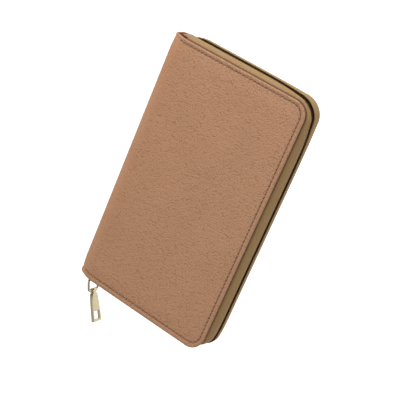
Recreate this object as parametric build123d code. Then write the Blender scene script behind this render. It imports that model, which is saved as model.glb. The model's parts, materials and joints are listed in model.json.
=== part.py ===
"""Zip around wallet, lying closed on its back cover.

X runs from the spine (-X) to the fore-edge (+X), Y runs from the bottom edge (-Y) to the
top edge (+Y), and Z is the thickness, with the front cover on top. The origin is the centre
of the back cover's outer face. All lengths are millimetres.

The wallet is a back cover, a spine strip and a front cover. Near the spine each cover has a
flap that slopes in, so that the wallet is thinner at the spine than at the fore-edge. A coil
zip runs round the bottom edge, fore-edge and top edge. Cover parts are drawn once for the
back cover, by their depth under its outer face, and mirrored in Z for the front cover.
"""

from build123d import *
import math
import os

os.makedirs("parts", exist_ok=True)

# Whole wallet
WIDTH = 118.0
HEIGHT = 200.0
THICK = 25.0
CORNER_RADIUS = 12.0
FORE_X = WIDTH / 2
SPINE_X = -WIDTH / 2
MID_Z = THICK / 2

# Flaps beside the spine
FLAP_WIDTH = 11.0
FLAP_RISE = 6.5
FLAP_ANGLE = math.atan2(FLAP_RISE, FLAP_WIDTH)
BEND_X = SPINE_X + FLAP_WIDTH
FOLD_GAP = 0.2

# Depths of the cover layers under the outer face
BOARD_DEPTH = 1.4
LEATHER_DEPTH = 2.2
TAPE_DEPTH = 3.0
LINING_DEPTH = 3.4
BOARD_INSET = 9.0
LINING_INSET = 1.5

# Lockstitch line
STITCH_INSET = 3.8
THREAD_WIDTH = 0.8
THREAD_DEPTH = 0.4

# Zip tape and coil
TAPE_WALL = 0.8
TAPE_PROUD = 0.9
FLANGE_INSET = 6.0
TAPE_GAP = 1.4
COIL_GAP = 1.1
COIL_WIDTH = 1.4
COIL_HEIGHT = 1.15
TAPE_START_BOTTOM = -55.5
TAPE_START_TOP = -45.0
STOP_LENGTH = 1.2

# Spine strip
SPINE_LEATHER = 1.6
SPINE_LINING = 0.5
END_TAB_THICK = 1.2
END_TAB_GAP = 0.5
END_TAB_X = -46.0

# Main slider
SLIDER_X = -49.0
SLIDER_LENGTH = 10.0
SLIDER_WIDTH = 8.4
SLIDER_PLATE = 1.0
SLIDER_OUTER = 1.2
SLIDER_INNER = -1.7
SLIDER_POST = 0.8
SLIDER_POST_LENGTH = 1.6
BRIDGE_WIDTH = 3.5
BRIDGE_LENGTH = 8.0
BRIDGE_HEIGHT = 4.1
BRIDGE_WALL = 1.4

# Pull
SWING = 23.5
TAB_LEAN = 8.5
PIVOT_OUT = 3.7
RING_WIRE = 1.8
RING_WIDTH = 12.2
RING_DROP = 9.2
RING_CORNER = 2.0
TAB_LENGTH = 24.5
TAB_THICK = 2.6
TAB_TOP = 8.6
TAB_NECK = 6.0
TAB_SHOULDER = 2.7
TAB_BOTTOM = 10.6
TAB_WINDOW = (6.2, 7.2)
TAB_FOOT = 1.9
BARREL_RADIUS = 1.6
BARREL_BORE = 1.1

# Inside pockets
POCKET_X = -44.0
POCKET_HALF = 90.0
SLOT_THICK = 0.7
SLOT_STEP = 13.0
BACK_SLOTS = 4
FRONT_SLOTS = 5
COIN_X = 36.0
COIN_PANEL = 1.2
COIN_TAPE = (14.0, 0.5)
COIN_MOUTH = 9.0
COIN_COIL = (2.8, 1.2)
COIN_ZIP_HALF = 86.0
COIN_SLIDER_Y = -74.0
COIN_SLIDER = (6.0, 8.0, 0.9)
COIN_PULL = (4.4, 9.0, 0.9)


def block(low, high):
    """A box from its lowest to its highest corner."""
    size = [b - a for a, b in zip(low, high)]
    middle = [(a + b) / 2 for a, b in zip(low, high)]
    return Pos(*middle) * Box(*size)


def plan(inset, x_min=SPINE_X):
    """The cover's outline seen from above, moved in from its edge; a negative inset is outside."""
    width = FORE_X - inset - x_min
    face = Pos(x_min + width / 2, 0) * Rectangle(width, HEIGHT - 2 * inset)
    return fillet(face.vertices().group_by(Axis.X)[-1], CORNER_RADIUS - inset)


def prism(face, low, high):
    """A plan outline raised from one height to another."""
    return Pos(0, 0, low) * extrude(face, high - low)


def depth_line(depth):
    """One surface of the back cover, as X and Z from the fore-edge over the bend to the spine."""
    bend = (BEND_X + depth * math.tan(FLAP_ANGLE / 2), depth)
    end_x = SPINE_X + depth * math.sin(FLAP_ANGLE)
    end_z = FLAP_RISE + depth * math.cos(FLAP_ANGLE)
    return [(FORE_X + CORNER_RADIUS, depth), bend, (end_x, end_z)]


def section(points):
    """A solid over the whole height of the wallet, from its outline in X and Z."""
    face = make_face(Plane.XZ * Polyline(*points, close=True))
    return extrude(face, HEIGHT, both=True)


def layer(shallow, deep):
    """The solid between two depths of the back cover, cut clear of the fold."""
    body = section(depth_line(shallow) + depth_line(deep)[::-1])
    fold_x = SPINE_X + 3 * FOLD_GAP
    notch_x = SPINE_X + SPINE_LEATHER + SPINE_LINING + 7 * FOLD_GAP
    body -= block((SPINE_X - 9, -HEIGHT, -9), (fold_x, HEIGHT, THICK))
    return body - block((SPINE_X - 9, -HEIGHT, FLAP_RISE - FOLD_GAP), (notch_x, HEIGHT, THICK))


def band(outer, inner, low, high):
    """A strip along the three zipped edges, between two insets and two heights."""
    return prism(plan(outer) - plan(inner), low, high)


def to_zip_ends(solid, margin=0.0):
    """Cuts a strip off at the two ends of the zip."""
    low, high = SPINE_X - 9, THICK + 9
    solid -= block((low, -HEIGHT, -9), (TAPE_START_BOTTOM + margin, 0, high))
    return solid - block((low, 0, -9), (TAPE_START_TOP + margin, HEIGHT, high))


def cover_leather():
    """Outer leather with its turned edge, a pocket for the board and a groove for the thread."""
    leather = layer(0, LEATHER_DEPTH) & prism(plan(0), 0, MID_Z)
    leather -= cover_board()
    return leather - cover_stitching()


def cover_board():
    """Stiffener that fills the flat of the cover."""
    outline = plan(BOARD_INSET, BEND_X + 2)
    return prism(outline, BOARD_DEPTH, LEATHER_DEPTH)


def cover_stitching():
    """Thread laid in the groove along the zipped edges."""
    half = THREAD_WIDTH / 2
    thread = band(STITCH_INSET - half, STITCH_INSET + half, 0, THREAD_DEPTH)
    return thread - block((SPINE_X - 9, -HEIGHT, -9), (BEND_X + 1, HEIGHT, THICK))


def cover_lining():
    """Lining: a core beside the tape's flange and a thin lip over it."""
    core = layer(LEATHER_DEPTH, TAPE_DEPTH) & prism(plan(FLANGE_INSET + 0.5), 0, MID_Z)
    lip = layer(TAPE_DEPTH, LINING_DEPTH) & prism(plan(LINING_INSET), 0, MID_Z)
    return core + lip


def zip_tape():
    """Tape: a flange sewn under the leather and a wall that stands up to the zip line."""
    top = MID_Z - TAPE_GAP / 2
    flange = layer(LEATHER_DEPTH, TAPE_DEPTH) & band(-TAPE_PROUD, FLANGE_INSET, 0, MID_Z)
    inside = depth_line(LEATHER_DEPTH) + [(SPINE_X, top), (FORE_X + CORNER_RADIUS, top)]
    wall = section(inside) & band(-TAPE_PROUD, TAPE_WALL - TAPE_PROUD, 0, MID_Z)
    return to_zip_ends(flange + wall)


def zip_strand(grow=0.0):
    """The space of one coil strand on the inner face of the tape wall, before it is cut."""
    face = TAPE_WALL - TAPE_PROUD
    top = MID_Z - COIL_GAP / 2
    return band(face, face + COIL_WIDTH + grow, top - COIL_HEIGHT - grow, top)


def zip_coil():
    """One strand of the coil, between its stops."""
    return to_zip_ends(zip_strand(), STOP_LENGTH)


def zip_stops():
    """The two metal clips that close one strand's ends."""
    clips = to_zip_ends(zip_strand(0.15))
    return clips - to_zip_ends(zip_strand(1.0), STOP_LENGTH)


def card_slot(x_min, x_max, level):
    """One pocket leaf, lying flat on the leaf under it."""
    return block((x_min, -POCKET_HALF, level), (x_max, POCKET_HALF, level + SLOT_THICK))


def coin_tape():
    """Tape of the coin pocket's zip."""
    width, thick = COIN_TAPE
    low = (COIN_X - width / 2, -COIN_ZIP_HALF, LINING_DEPTH)
    return block(low, (COIN_X + width / 2, COIN_ZIP_HALF, LINING_DEPTH + thick))


def coin_panel(x_min, x_max):
    """Leaf of the coin pocket on one side of its zip."""
    top = LINING_DEPTH + COIN_PANEL
    return block((x_min, -POCKET_HALF, LINING_DEPTH), (x_max, POCKET_HALF, top)) - coin_tape()


def coin_coil():
    """Closed coil of the coin pocket's zip."""
    width, height = COIN_COIL
    base = LINING_DEPTH + COIN_TAPE[1]
    low = (COIN_X - width / 2, -COIN_ZIP_HALF, base)
    return block(low, (COIN_X + width / 2, COIN_ZIP_HALF, base + height))


def coin_slider_top():
    """Height of the coin slider's plate."""
    return LINING_DEPTH + COIN_TAPE[1] + COIN_COIL[1] + 0.2 + COIN_SLIDER[2]


def coin_slider():
    """Plate over the coil, two flanges beside it and a lug for the pull."""
    width, length, thick = COIN_SLIDER
    top = coin_slider_top()
    x, y = COIN_X, COIN_SLIDER_Y
    plate = block((x - width / 2, y - length / 2, top - thick), (x + width / 2, y + length / 2, top))
    low = LINING_DEPTH + COIN_TAPE[1] + 0.2
    for side in (-1, 1):
        middle = x + side * (width / 2 - 0.4)
        plate += block((middle - 0.4, y - length / 2, low), (middle + 0.4, y + length / 2, top))
    for side in (-1, 1):
        lug_x = x + side * 1.1
        plate += block((lug_x - 0.3, y - 1.0, top), (lug_x + 0.3, y + 1.0, top + 1.6))
    pin = Pos(x, y, top + 1.0) * Rot(0, 90, 0) * Cylinder(0.4, 2.4)
    return plate + pin


def coin_pull():
    """Small pull that lies along the coil and turns on the slider's pin."""
    width, length, thick = COIN_PULL
    x, y, z = COIN_X, COIN_SLIDER_Y, coin_slider_top() + 1.0
    eye = Pos(x, y, z) * Rot(0, 90, 0) * Cylinder(0.95, 1.2)
    neck = block((x - 0.6, y, z - thick / 2), (x + 0.6, y + 3.0, z + thick / 2))
    leaf = block((x - width / 2, y + 2.6, z - thick / 2), (x + width / 2, y + length, z + thick / 2))
    leaf = fillet(leaf.edges().filter_by(Axis.Z), 1.2)
    bore = Pos(x, y, z) * Rot(0, 90, 0) * Cylinder(0.6, 9)
    return eye + neck + leaf - bore


def spine_leather():
    """Outer strip between the two folds."""
    low = (SPINE_X, -HEIGHT / 2, FLAP_RISE + FOLD_GAP)
    high = (SPINE_X + SPINE_LEATHER, HEIGHT / 2, THICK - FLAP_RISE - FOLD_GAP)
    strip = block(low, high)
    corners = strip.edges().filter_by(Axis.Y).group_by(Axis.X)[0]
    return fillet(corners, 1.0)


def spine_lining():
    """Lining on the inside of the spine strip."""
    low_z = FLAP_RISE + 2 * FOLD_GAP
    x = SPINE_X + SPINE_LEATHER
    edge = HEIGHT / 2 - LINING_INSET
    return block((x, -edge, low_z), (x + SPINE_LINING, edge, THICK - low_z))


def end_tab(y_low):
    """Leather tab that closes the wedge between the flaps at one end of the spine."""
    start = SPINE_X + SPINE_LEATHER + SPINE_LINING
    slope = math.tan(FLAP_ANGLE)
    inner = LINING_DEPTH / math.cos(FLAP_ANGLE) + END_TAB_GAP
    fold_z = FLAP_RISE - (start - SPINE_X) * slope + inner
    flat_x = BEND_X + END_TAB_GAP
    points = [(start, fold_z), (flat_x, inner), (END_TAB_X, inner)]
    points += [(x, THICK - z) for x, z in points[::-1]]
    face = make_face(Plane.XZ * Polyline(*points, close=True))
    return Pos(0, y_low + END_TAB_THICK, 0) * extrude(face, END_TAB_THICK)


def slider_block(x_low, x_high, out_low, out_high, half_z):
    """A box on the main slider, by distance along the zip and outward from the cover's edge."""
    edge = -HEIGHT / 2
    low = (SLIDER_X + x_low, edge - out_high, MID_Z - half_z)
    return block(low, (SLIDER_X + x_high, edge - out_low, MID_Z + half_z))


def slider_plate(inner):
    """One plate of the main slider, with rounded corners."""
    half = SLIDER_LENGTH / 2
    plate = slider_block(-half, half, inner, inner + SLIDER_PLATE, SLIDER_WIDTH / 2)
    return fillet(plate.edges().filter_by(Axis.Y), 1.6)


def main_slider():
    """Two plates joined by a post between the coil strands, and a bridge for the ring."""
    half = SLIDER_LENGTH / 2
    body = slider_plate(SLIDER_OUTER) + slider_plate(SLIDER_INNER - SLIDER_PLATE)
    post_end = -half + 0.3 + SLIDER_POST_LENGTH
    body += slider_block(-half + 0.3, post_end, SLIDER_INNER - 0.5, SLIDER_OUTER + 0.5, SLIDER_POST / 2)
    foot = SLIDER_OUTER + SLIDER_PLATE
    reach = BRIDGE_LENGTH / 2
    bridge = slider_block(-reach, reach, foot - 0.5, foot + BRIDGE_HEIGHT, BRIDGE_WIDTH / 2)
    crown = bridge.edges().filter_by(Axis.Z).group_by(Axis.Y)[0]
    bridge = fillet(crown, 2.4)
    hole_out = PIVOT_OUT + RING_WIRE / 2 + 0.3
    hole = slider_block(BRIDGE_WALL - reach, reach - BRIDGE_WALL, foot, hole_out, BRIDGE_WIDTH)
    return body + bridge - hole


def pivot():
    """Centre of the ring's upper bar, which lies in the slider's bridge."""
    return Pos(SLIDER_X, -HEIGHT / 2 - PIVOT_OUT, MID_Z)


def pull_ring():
    """Rectangular wire ring, hanging from the bridge."""
    loop = Plane.YZ * (Pos(-RING_DROP / 2, 0) * RectangleRounded(RING_DROP, RING_WIDTH, RING_CORNER))
    path = loop.face().outer_wire()
    wire = Plane(origin=path @ 0, z_dir=path % 0) * Circle(RING_WIRE / 2)
    return pivot() * Rot(0, 0, SWING) * sweep(wire, path=path)


def pull_tab():
    """Shouldered tab with a window, turning on the ring's lower bar by its barrel."""
    top, foot = -BARREL_RADIUS / 2, -TAB_LENGTH
    half_outline = [(top, TAB_NECK / 2), (-TAB_SHOULDER, TAB_NECK / 2),
                    (-TAB_SHOULDER, TAB_TOP / 2), (foot, TAB_BOTTOM / 2)]
    outline = half_outline + [(d, -across) for d, across in reversed(half_outline)]
    face = make_face(Plane.YZ * Polyline(*outline, close=True))
    plate = extrude(face, TAB_THICK / 2, both=True)
    height, width = TAB_WINDOW
    window_y = foot + TAB_FOOT + height / 2
    plate -= Pos(0, window_y, 0) * Box(2 * TAB_THICK, height, width)
    barrel = Cylinder(BARREL_RADIUS, TAB_NECK) - Cylinder(BARREL_BORE, 2 * TAB_NECK)
    plate -= Cylinder(BARREL_BORE, 2 * TAB_NECK)
    hang = Rot(0, 0, SWING) * Pos(0, -RING_DROP, 0) * Rot(0, 0, TAB_LEAN)
    return pivot() * hang * (plate + barrel)


def to_front(solid):
    """The same cover part on the front cover."""
    return mirror(solid, Plane.XY.offset(MID_Z))


COVER_PARTS = {
    "leather": cover_leather,
    "board": cover_board,
    "lining": cover_lining,
    "stitching": cover_stitching,
    "zip_tape": zip_tape,
    "zip_coil": zip_coil,
    "zip_stops": zip_stops,
}


def cover_nodes():
    """Both covers' shells, linings and zip halves."""
    nodes = {}
    for name, make in COVER_PARTS.items():
        nodes["back_" + name] = make()
        nodes["front_" + name] = to_front(make())
    return nodes


def pocket_nodes():
    """Coin pocket and card slots on the back cover, bill leaf and card slots on the front."""
    mouth = COIN_MOUTH / 2
    nodes = {
        "coin_pocket_panel": coin_panel(POCKET_X, COIN_X - mouth),
        "coin_pocket_border": coin_panel(COIN_X + mouth, FORE_X - 4),
        "coin_zip_tape": coin_tape(),
        "coin_zip_coil": coin_coil(),
        "coin_zip_slider": coin_slider(),
        "coin_zip_pull": coin_pull(),
    }
    level = LINING_DEPTH + COIN_PANEL
    for i in range(BACK_SLOTS):
        x_min = POCKET_X + 4 + i * SLOT_STEP
        nodes[f"back_card_slot_{i + 1}"] = card_slot(x_min, COIN_X - 9, level + i * SLOT_THICK)
    nodes["bill_pocket_leaf"] = to_front(card_slot(POCKET_X, FORE_X - 5, LINING_DEPTH))
    level = LINING_DEPTH + SLOT_THICK
    for i in range(FRONT_SLOTS):
        x_min = POCKET_X + 8 + i * SLOT_STEP
        slot = card_slot(x_min, FORE_X - 7, level + i * SLOT_THICK)
        nodes[f"front_card_slot_{i + 1}"] = to_front(slot)
    return nodes


def spine_nodes():
    """Spine strip, its lining and the tabs at its two ends."""
    top = HEIGHT / 2 - 0.1 - END_TAB_THICK
    return {
        "spine_leather": spine_leather(),
        "spine_lining": spine_lining(),
        "zip_end_tab_top": end_tab(top),
        "zip_end_tab_bottom": end_tab(-HEIGHT / 2 + 3.2),
    }


def pull_nodes():
    """Main slider with its ring and tab."""
    return {"zip_slider": main_slider(), "pull_ring": pull_ring(), "pull_tab": pull_tab()}


def main():
    """Writes one STEP file for each node."""
    nodes = cover_nodes() | pocket_nodes() | spine_nodes() | pull_nodes()
    for name, shape in nodes.items():
        export_step(shape, f"parts/{name}.step")


main()
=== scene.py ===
"""Zip around wallet: the looks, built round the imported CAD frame.

The frame lies on its back cover: X from spine to fore-edge, Y from bottom edge to top edge,
Z from back cover to front cover. Lengths are metres; MM turns millimetres into metres. Cover
parts are drawn on a flat sheet first, with s the way along the leather from the middle of the
spine to the fore-edge, y along the wallet and h the height over the leather's outer face, and
then bent round the cover's profile.
"""

import json
import math
import random

import bmesh
import bpy
import numpy as np
from mathutils import Matrix, Vector, noise

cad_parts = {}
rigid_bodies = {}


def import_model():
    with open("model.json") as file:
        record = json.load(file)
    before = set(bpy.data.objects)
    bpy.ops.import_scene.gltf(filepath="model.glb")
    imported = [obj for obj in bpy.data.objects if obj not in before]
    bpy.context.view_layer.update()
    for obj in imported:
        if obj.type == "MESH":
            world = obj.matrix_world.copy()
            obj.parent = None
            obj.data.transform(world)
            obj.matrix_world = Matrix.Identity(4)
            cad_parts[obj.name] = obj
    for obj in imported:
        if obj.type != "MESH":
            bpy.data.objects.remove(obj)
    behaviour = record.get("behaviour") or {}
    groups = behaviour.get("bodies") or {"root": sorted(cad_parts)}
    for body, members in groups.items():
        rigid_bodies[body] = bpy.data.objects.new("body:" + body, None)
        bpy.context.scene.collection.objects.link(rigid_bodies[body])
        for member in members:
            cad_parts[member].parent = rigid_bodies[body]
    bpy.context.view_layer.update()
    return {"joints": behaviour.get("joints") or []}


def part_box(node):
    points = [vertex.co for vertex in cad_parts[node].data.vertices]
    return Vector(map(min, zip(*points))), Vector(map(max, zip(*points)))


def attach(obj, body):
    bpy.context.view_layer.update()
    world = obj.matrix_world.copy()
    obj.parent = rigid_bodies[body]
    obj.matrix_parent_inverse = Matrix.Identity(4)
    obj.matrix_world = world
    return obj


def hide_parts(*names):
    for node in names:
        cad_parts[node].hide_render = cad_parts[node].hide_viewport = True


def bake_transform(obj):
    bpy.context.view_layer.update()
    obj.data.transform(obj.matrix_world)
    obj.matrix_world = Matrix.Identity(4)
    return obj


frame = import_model()
random.seed(7)

MM = 0.001


def mm_box(node):
    """Lowest and highest corner of a CAD node in millimetres."""
    low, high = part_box(node)
    return Vector(low) / MM, Vector(high) / MM


# ---- sizes read from the frame, in millimetres ----
LEATHER_HIGH = mm_box("front_leather")[1]
SPINE_LOW, SPINE_HIGH = mm_box("spine_leather")
THICK = LEATHER_HIGH.z
HALF_HEIGHT = LEATHER_HIGH.y
FORE_X = LEATHER_HIGH.x
SPINE_X = SPINE_LOW.x
MID_Z = THICK / 2
FOLD_Z = SPINE_HIGH.z + 0.2
SLIDER_LOW, SLIDER_HIGH = mm_box("zip_slider")
JOINTS = {joint["name"]: joint for joint in frame["joints"]}

# ---- shape of the covers ----
CORNER_RADIUS = 12.0
FLAP_WIDTH = 11.0
BEND_X = SPINE_X + FLAP_WIDTH
STITCH_INSET = 3.8
STITCH_PITCH = 3.2
GRID = 0.7
SHELL = 0.5


# ---- mesh helpers ----
def shade_smooth(mesh):
    """Smooth shading on every face."""
    mesh.polygons.foreach_set("use_smooth", [True] * len(mesh.polygons))


def place_mesh(name, mesh):
    """Puts a mesh into the scene as a smooth object."""
    obj = bpy.data.objects.new(name, mesh)
    bpy.context.scene.collection.objects.link(obj)
    shade_smooth(mesh)
    return obj


def new_object(name, vertices, faces, material):
    """A mesh object from vertices in millimetres."""
    mesh = bpy.data.meshes.new(name)
    mesh.from_pydata([tuple(MM * c for c in v) for v in vertices], [], faces)
    mesh.validate()
    mesh.update()
    mesh.materials.append(material)
    return place_mesh(name, mesh)


def set_uv(obj, points):
    """Gives each vertex the UV place in points, in millimetres."""
    layer = obj.data.uv_layers.new(name="cloth")
    index = np.empty(len(obj.data.loops), dtype=np.int64)
    obj.data.loops.foreach_get("vertex_index", index)
    layer.data.foreach_set("uv", (np.asarray(points, float)[index] * MM).ravel())


def apply_modifiers(obj):
    """Replaces the mesh by what its modifiers make of it."""
    graph = bpy.context.evaluated_depsgraph_get()
    mesh = bpy.data.meshes.new_from_object(obj.evaluated_get(graph))
    obj.modifiers.clear()
    obj.data = mesh


def tidy_normals(obj, merge=0.002, fill=False):
    """Merges doubled vertices, fills open borders if asked to and turns every face outward."""
    edit = bmesh.new()
    edit.from_mesh(obj.data)
    bmesh.ops.remove_doubles(edit, verts=edit.verts, dist=merge * MM)
    if fill:
        border = [edge for edge in edit.edges if edge.is_boundary]
        bmesh.ops.holes_fill(edit, edges=border, sides=0)
    bmesh.ops.recalc_face_normals(edit, faces=edit.faces)
    edit.to_mesh(obj.data)
    edit.free()


def bevel(obj, width, segments=3):
    """Rounds the sharp edges of a hard piece by a width in millimetres."""
    modifier = obj.modifiers.new("bevel", "BEVEL")
    modifier.width = width * MM
    modifier.segments = segments
    modifier.limit_method = "ANGLE"
    modifier.harden_normals = False
    apply_modifiers(obj)
    shade_smooth(obj.data)


def smoothstep(x):
    """0 below 0, 1 above 1, and a soft step between."""
    x = np.clip(x, 0.0, 1.0)
    return x * x * (3 - 2 * x)


def grid_faces(rows, columns, closed=False, offset=0):
    """Quads of a grid whose vertices run along the columns first."""
    faces = []
    across = columns if closed else columns - 1
    for i in range(rows - 1):
        for j in range(across):
            k = (j + 1) % columns
            faces.append((offset + i * columns + j, offset + i * columns + k,
                          offset + (i + 1) * columns + k, offset + (i + 1) * columns + j))
    return faces


def tube_faces(rows, columns, offset=0):
    """Faces of a tube of rings, with both ends closed."""
    last = offset + (rows - 1) * columns
    ends = [tuple(range(offset, offset + columns))[::-1], tuple(range(last, last + columns))]
    return grid_faces(rows, columns, closed=True, offset=offset) + ends


def loop_faces(rows, columns):
    """Faces of a tube of rings that closes on itself."""
    last = (rows - 1) * columns
    return grid_faces(rows, columns, closed=True) + [
        (last + j, last + (j + 1) % columns, (j + 1) % columns, j) for j in range(columns)]


def circle(count):
    """Cosine and sine of count even turns of a full circle."""
    angles = [2 * math.pi * i / count for i in range(count)]
    return [(math.cos(a), math.sin(a)) for a in angles]


def cloth_object(name, vertices, faces, material, places):
    """A mesh object with cloth coordinates and its normals turned outward."""
    obj = new_object(name, vertices, faces, material)
    set_uv(obj, places)
    tidy_normals(obj)
    return obj


def finish_piece(obj, body, replaced=()):
    """Rides a piece on its body and hides the CAD nodes it stands for."""
    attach(obj, body)
    if replaced:
        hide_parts(*replaced)
    return obj


# ---- profile of a cover ----
def rounded_path(corners, cuts, steps=14):
    """Points of a polyline whose inner corners are rounded off, each by its own cut length."""
    points = [corners[0]]
    for before, corner, after, cut in zip(corners, corners[1:], corners[2:], cuts):
        a = corner + (before - corner).normalized() * cut
        b = corner + (after - corner).normalized() * cut
        for i in range(steps + 1):
            t = i / steps
            points.append(a * (1 - t) ** 2 + corner * 2 * t * (1 - t) + b * t * t)
    points.append(corners[-1])
    return points


def cover_profile():
    """The front leather's outer face in X and Z, from the middle of the spine outward."""
    corners = [Vector((SPINE_X - 0.3, MID_Z)), Vector((SPINE_X - 0.3, FOLD_Z)),
               Vector((BEND_X, THICK)), Vector((FORE_X + 9, THICK))]
    return np.array([tuple(p) for p in rounded_path(corners, (3.4, 5.5))])


PROFILE = cover_profile()
PROFILE_STEP = np.hypot(*np.diff(PROFILE, axis=0).T)
PROFILE_S = np.concatenate([[0], np.cumsum(PROFILE_STEP)])
FORE_S = PROFILE_S[-1] - 9
CORNER_S = FORE_S - CORNER_RADIUS
CORNER_Y = HALF_HEIGHT - CORNER_RADIUS


def bend_sheet(sheet):
    """Bends points (s, y, h) of the flat sheet round the front cover's profile."""
    s, y, h = np.asarray(sheet, float).T

    def at(way):
        return np.stack([np.interp(way, PROFILE_S, PROFILE[:, k]) for k in (0, 1)], axis=1)

    step = 0.6
    along = at(s + step) - at(s - step)
    along /= np.linalg.norm(along, axis=1)[:, None]
    x, z = at(s).T
    return np.stack([x - along[:, 1] * h, y, z + along[:, 0] * h], axis=1)


def on_cover(side, sheet):
    """Points of the flat sheet, bent round the front cover or its mirror image, the back cover."""
    points = bend_sheet(sheet)
    if side == "back":
        points[:, 2] = THICK - points[:, 2]
    return points


def edge_route(spacing, start_bottom, start_top):
    """Places along the three zipped edges of the flat sheet, at the corner radius's centre line.

    Each place is (s, y, outward direction in s, outward direction in y, way along).
    """
    places = []
    straight = [start_bottom + i * spacing for i in range(int((CORNER_S - start_bottom) / spacing))]
    places += [(s, -CORNER_Y, 0.0, -1.0) for s in straight]
    turns = 24
    places += [(CORNER_S, -CORNER_Y, math.sin(a), -math.cos(a))
               for a in (i * math.pi / 2 / turns for i in range(turns))]
    count = round(2 * CORNER_Y / spacing)
    places += [(CORNER_S, -CORNER_Y + i * 2 * CORNER_Y / count, 1.0, 0.0) for i in range(count)]
    places += [(CORNER_S, CORNER_Y, math.cos(a), math.sin(a))
               for a in (i * math.pi / 2 / turns for i in range(turns))]
    straight = [start_top + i * spacing for i in range(int((CORNER_S - start_top) / spacing))]
    places += [(CORNER_S, CORNER_Y, 0.0, 1.0)] + [(s, CORNER_Y, 0.0, 1.0) for s in straight[::-1]]
    way, routed = 0.0, []
    for i, place in enumerate(places):
        if i:
            edge = [p[k] + CORNER_RADIUS * p[k + 2] for p in (places[i - 1], place) for k in (0, 1)]
            way += math.hypot(edge[2] - edge[0], edge[3] - edge[1])
        routed.append(place + (way,))
    return routed


# ---- materials ----
class Nodes:
    """Short calls for building the node tree of a new material, or of the world."""

    def __init__(self, name, world=None):
        self.owner = world or bpy.data.materials.new(name)
        self.owner.use_nodes = True
        self.tree = self.owner.node_tree
        self.shader = self.tree.nodes.get("Principled BSDF")

    def add(self, kind, **values):
        """A node of that kind; values set its properties or, by position, its inputs."""
        node = self.tree.nodes.new(kind)
        for key, value in values.items():
            if key.startswith("in_"):
                node.inputs[int(key[3:])].default_value = value
            else:
                setattr(node, key, value)
        return node

    def link(self, source, target):
        """Joins an output socket to an input socket."""
        self.tree.links.new(source, target)

    def feed(self, target, value):
        """Gives an input a number, a colour or another node's output."""
        if isinstance(value, (int, float)):
            target.default_value = value
        elif isinstance(value, (tuple, list)):
            target.default_value = tuple(value) + (1.0,)
        else:
            self.link(value, target)

    def scaled(self, place, scale):
        """A place multiplied axis by axis."""
        mapping = self.add("ShaderNodeMapping")
        mapping.inputs["Scale"].default_value = scale
        self.link(place, mapping.inputs[0])
        return mapping.outputs[0]

    def uv(self):
        """The piece's own cloth coordinates in millimetres."""
        return self.scaled(self.add("ShaderNodeUVMap", uv_map="cloth").outputs[0], [1 / MM] * 3)

    def solid(self):
        """The piece's own space in millimetres."""
        return self.scaled(self.add("ShaderNodeTexCoord").outputs["Object"], [1 / MM] * 3)

    def noise(self, place, scale, detail, output="Fac"):
        """Cloudy noise; scale is in cells per millimetre."""
        node = self.add("ShaderNodeTexNoise", in_2=scale, in_3=detail)
        self.link(place, node.inputs[0])
        return node.outputs[output]

    def split(self, place):
        """The three parts of a place."""
        node = self.add("ShaderNodeSeparateXYZ")
        self.link(place, node.inputs[0])
        return node.outputs

    def times(self, a, b):
        """A product of sockets or numbers."""
        return self.math("MULTIPLY", a, b)

    def ramp(self, source, stops):
        """Colours between 0 and 1, as (place, colour) stops."""
        node = self.add("ShaderNodeValToRGB")
        elements = node.color_ramp.elements
        while len(elements) < len(stops):
            elements.new(0.5)
        for element, (place, colour) in zip(elements, stops):
            element.position = place
            element.color = tuple(colour) + (1.0,)
        self.link(source, node.inputs[0])
        return node.outputs[0]

    def math(self, operation, a, b=0.0):
        """A Math node on sockets or numbers."""
        node = self.add("ShaderNodeMath", operation=operation)
        self.feed(node.inputs[0], a)
        self.feed(node.inputs[1], b)
        return node.outputs[0]

    def mix(self, factor, a, b, blend="MIX"):
        """A colour mix; the colours are sockets or (r, g, b)."""
        node = self.add("ShaderNodeMix", data_type="RGBA", blend_type=blend)
        for index, value in ((0, factor), (6, a), (7, b)):
            self.feed(node.inputs[index], value)
        return node.outputs[2]

    def pebbles(self, place, scale, reach):
        """Rounded domes that meet in soft valleys: 1 on their tops and 0 in the valleys."""
        cells = self.add("ShaderNodeTexVoronoi", feature="SMOOTH_F1")
        cells.inputs["Scale"].default_value = scale
        cells.inputs["Smoothness"].default_value = 0.22
        cells.inputs["Randomness"].default_value = 0.92
        self.link(place, cells.inputs["Vector"])
        away = self.math("MULTIPLY", cells.outputs["Distance"], reach)
        return self.math("SUBTRACT", 1.0, self.math("MINIMUM", self.math("POWER", away, 2.2), 1.0))

    def bump(self, height, strength, distance, below=None):
        """A bump, over another one if below is given; distance is in millimetres."""
        node = self.add("ShaderNodeBump")
        node.inputs["Strength"].default_value = strength
        node.inputs["Distance"].default_value = distance * MM
        self.link(height, node.inputs["Height"])
        if below is not None:
            self.link(below, node.inputs["Normal"])
        return node.outputs[0]

    def finish(self, colour, normal=None, roughness=0.5, **constants):
        """Sets the shader: colour and roughness may be sockets, everything else is a constant."""
        for name, value in (("Base Color", colour), ("Roughness", roughness), ("Normal", normal)):
            if value is not None:
                self.feed(self.shader.inputs[name], value)
        for name, value in constants.items():
            self.shader.inputs[name.replace("_", " ")].default_value = value
        return self.owner


# Leather's colours: on the face; by the spine, a warmer tone painted in for the rolled spine's
# shading; in the creases, painted shade; on the tops of the grain, a painted highlight.
LEATHER_COLOURS = [(0.412, 0.209, 0.109), (0.45, 0.212, 0.098), (0.315, 0.155, 0.079),
                   (0.445, 0.236, 0.130)]


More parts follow.
